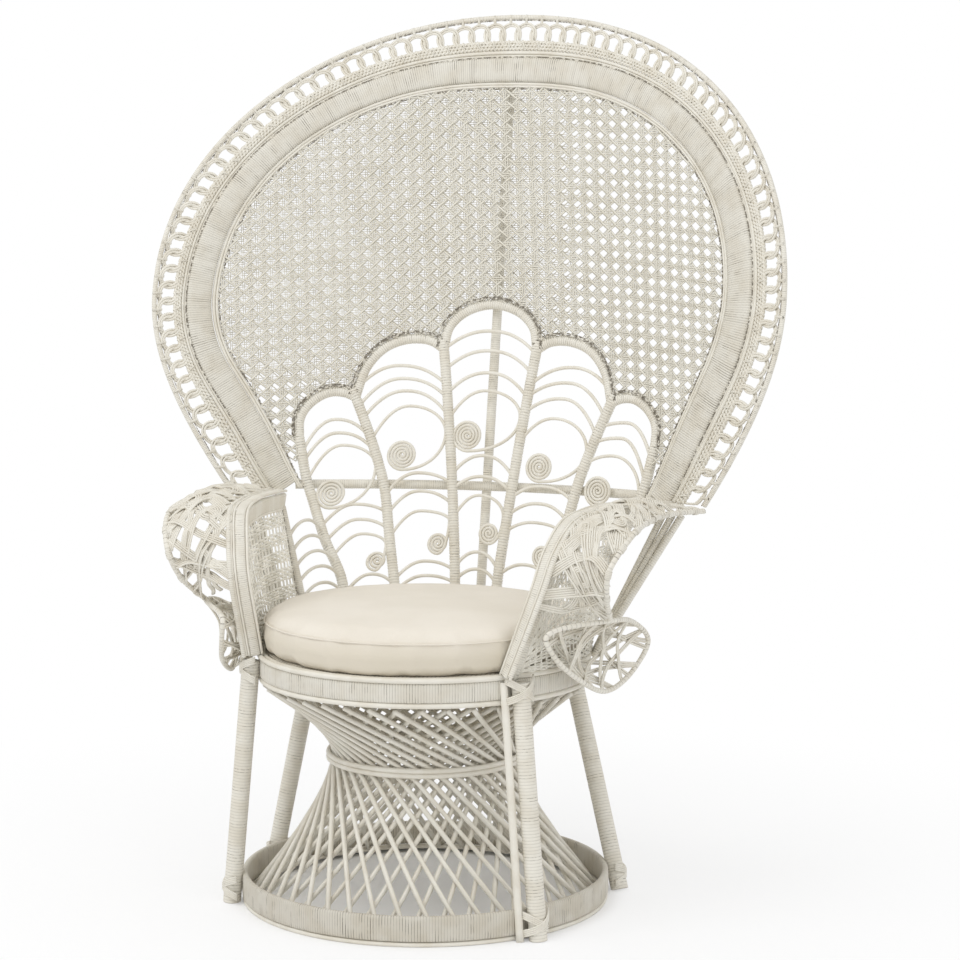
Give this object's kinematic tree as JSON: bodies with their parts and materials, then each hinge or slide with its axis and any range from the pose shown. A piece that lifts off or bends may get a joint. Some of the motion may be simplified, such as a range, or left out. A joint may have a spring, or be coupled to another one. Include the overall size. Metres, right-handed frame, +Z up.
{
  "type": "peacock armchair",
  "caption": "Tall peacock armchair of painted rattan with a woven hourglass base, a round cushioned seat, open scrollwork, ruffled arms and a wide oval woven fan back.",
  "frame": {"origin": "under the middle of the chair's box, on the floor", "axes": "+Z is up and -Y is the front of the chair, so +X is at the right of the picture"},
  "size_m": [1.1382, 0.8114, 1.4998],
  "materials": {
    "wrapped_rattan": "rattan poles wrapped in flat cane, painted off-white",
    "bare_cane": "round rattan rods, painted off-white",
    "woven_cane": "open woven cane, painted off-white",
    "cushion_fabric": "cream woven cover over a soft filling",
    "bearer_wood": "plain sawn wood"
  },
  "bodies": {
    "frame": {"arm_band_left": "wrapped_rattan", "arm_band_right": "wrapped_rattan", "arm_panel_left": "woven_cane", "arm_panel_right": "woven_cane", "arm_post_left": "wrapped_rattan", "arm_post_right": "wrapped_rattan", "arm_ruffle_left": "bare_cane", "arm_ruffle_right": "bare_cane", "base_hoop": "bare_cane", "base_ring": "wrapped_rattan", "cane_panel_back": "woven_cane", "cane_panel_front": "woven_cane", "cross_bar": "wrapped_rattan", "fan_band": "wrapped_rattan", "fan_border": "bare_cane", "fan_edging": "bare_cane", "fan_hoop": "wrapped_rattan", "fan_rail": "bare_cane", "inner_rods_1": "bare_cane", "inner_rods_2": "bare_cane", "inner_rods_3": "bare_cane", "inner_rods_4": "bare_cane", "inner_rods_5": "bare_cane", "leg_back_left": "wrapped_rattan", "leg_back_right": "wrapped_rattan", "leg_front_left": "wrapped_rattan", "leg_front_right": "wrapped_rattan", "outer_rods_1": "bare_cane", "outer_rods_2": "bare_cane", "outer_rods_3": "bare_cane", "outer_rods_4": "bare_cane", "outer_rods_5": "bare_cane", "petal_1": "wrapped_rattan", "petal_2": "wrapped_rattan", "petal_3": "wrapped_rattan", "petal_4": "wrapped_rattan", "petal_5": "wrapped_rattan", "rear_post": "wrapped_rattan", "ruffle_cup_left": "bare_cane", "ruffle_cup_right": "bare_cane", "seat_bearer_left": "bearer_wood", "seat_bearer_right": "bearer_wood", "seat_deck": "woven_cane", "seat_hoop_lower": "bare_cane", "seat_hoops_upper": "bare_cane", "seat_ring": "wrapped_rattan", "side_pole": "bare_cane", "side_stay_left_1": "wrapped_rattan", "side_stay_left_2": "wrapped_rattan", "side_stay_left_3": "wrapped_rattan", "side_stay_right_1": "wrapped_rattan", "side_stay_right_2": "wrapped_rattan", "side_stay_right_3": "wrapped_rattan", "stem_1": "wrapped_rattan", "stem_2": "wrapped_rattan", "stem_3": "wrapped_rattan", "stem_4": "wrapped_rattan", "stem_5": "wrapped_rattan", "waist_hoops": "bare_cane"},
    "cushion": {"cushion": "cushion_fabric"}
  },
  "joints": [
    {"name": "cushion_lift", "type": "slide", "parent": "frame", "child": "cushion", "axis": [0, 0, 1], "range_m": [0, 0.35]}
  ]
}
